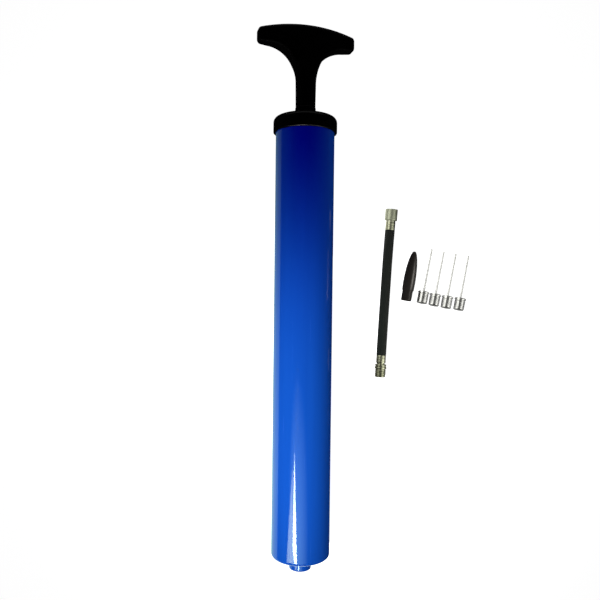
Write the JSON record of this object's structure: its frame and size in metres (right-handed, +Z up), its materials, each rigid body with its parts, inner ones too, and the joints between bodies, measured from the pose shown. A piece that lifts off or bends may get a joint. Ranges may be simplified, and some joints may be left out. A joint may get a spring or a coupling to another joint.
{
  "type": "ball inflation pump",
  "caption": "Hand pump for balls: T-handle plunger in a round plastic barrel with a threaded outlet, lying with its braided hose, tapered nozzle and ball needles.",
  "frame": {"origin": "on the ground, under the middle of the pump, nozzle and needles taken together (the free hose is left out)", "axes": "+Y along the pump from its outlet to its handle, +Z up from the surface that everything lies on, +X from the pump to the kit beside it"},
  "size_m": [0.1518, 0.3684, 0.0434],
  "materials": {
    "barrel_plastic": "glossy injection-moulded blue plastic",
    "black_plastic": "semi-gloss black plastic",
    "rod_plastic": "satin black plastic",
    "bush_plastic": "self-lubricating black plastic",
    "piston_plastic": "natural white plastic",
    "seal_rubber": "black nitrile rubber, greased",
    "screw_steel": "zinc-plated steel",
    "ball_steel": "polished steel ball",
    "hose_braid": "rubber hose with a fine black textile braid",
    "hose_fitting": "nickel-plated brass, slightly tarnished",
    "nozzle_plastic": "satin dark grey plastic",
    "needle_plating": "bright nickel-plated needle bases",
    "needle_steel": "drawn steel needle tubes"
  },
  "bodies": {
    "barrel": {"barrel": "barrel_plastic", "outlet_gasket": "seal_rubber", "valve_seat": "bush_plastic", "valve_spring": "screw_steel", "top_cap": "black_plastic", "rod_bush": "bush_plastic"},
    "valve_ball": {"valve_ball": "ball_steel"},
    "piston": {"piston_body": "piston_plastic", "cup_seal": "seal_rubber", "seal_retainer": "piston_plastic"},
    "plunger": {"plunger_rod": "rod_plastic", "piston_screw": "screw_steel", "screw_washer": "screw_steel", "stop_buffer": "seal_rubber", "t_handle": "black_plastic", "handle_screw": "screw_steel", "handle_screw_cover": "black_plastic"},
    "hose": {"hose_tube": "hose_braid", "male_fitting": "hose_fitting", "lower_ferrule": "hose_fitting", "upper_ferrule": "hose_fitting", "hose_tail": "hose_fitting", "nut_gasket": "seal_rubber"},
    "swivel_nut": {"swivel_nut": "hose_fitting"},
    "nozzle": {"cone_nozzle": "nozzle_plastic"},
    "needle_1": {"needle_1_base": "needle_plating", "needle_1_tube": "needle_steel"},
    "needle_2": {"needle_2_base": "needle_plating", "needle_2_tube": "needle_steel"},
    "needle_3": {"needle_3_base": "needle_plating", "needle_3_tube": "needle_steel"},
    "needle_4": {"needle_4_base": "needle_plating", "needle_4_tube": "needle_steel"}
  },
  "joints": [
    {"name": "plunger_slide", "type": "slide", "parent": "barrel", "child": "piston", "axis": [0, 1, 0.006], "range_m": [0, 0.259]},
    {"name": "handle_swivel", "type": "hinge", "parent": "piston", "child": "plunger", "pos_m": [-0.04267, -0.15559, 0.0201], "axis": [0, 1, 0.006], "continuous": true},
    {"name": "valve_lift", "type": "slide", "parent": "barrel", "child": "valve_ball", "axis": [0, -1, -0.006], "range_m": [0, 0.0012], "stiffness_N_per_m": 20, "springref_m": -0.001, "deforming": ["valve_spring"]},
    {"name": "hose_lift", "type": "slide", "parent": "barrel", "child": "hose", "axis": [0, 0, 1], "range_m": [0, 0.06]},
    {"name": "nut_swivel", "type": "hinge", "parent": "hose", "child": "swivel_nut", "pos_m": [0.01919, 0.06082, 0.00451], "axis": [0.0719, 0.9971, 0.0252], "continuous": true},
    {"name": "nozzle_lift", "type": "slide", "parent": "barrel", "child": "nozzle", "axis": [0, 0, 1], "range_m": [0, 0.06]},
    {"name": "needle_1_lift", "type": "slide", "parent": "barrel", "child": "needle_1", "axis": [0, 0, 1], "range_m": [0, 0.06]},
    {"name": "needle_2_lift", "type": "slide", "parent": "barrel", "child": "needle_2", "axis": [0, 0, 1], "range_m": [0, 0.06]},
    {"name": "needle_3_lift", "type": "slide", "parent": "barrel", "child": "needle_3", "axis": [0, 0, 1], "range_m": [0, 0.06]},
    {"name": "needle_4_lift", "type": "slide", "parent": "barrel", "child": "needle_4", "axis": [0, 0, 1], "range_m": [0, 0.06]}
  ]
}
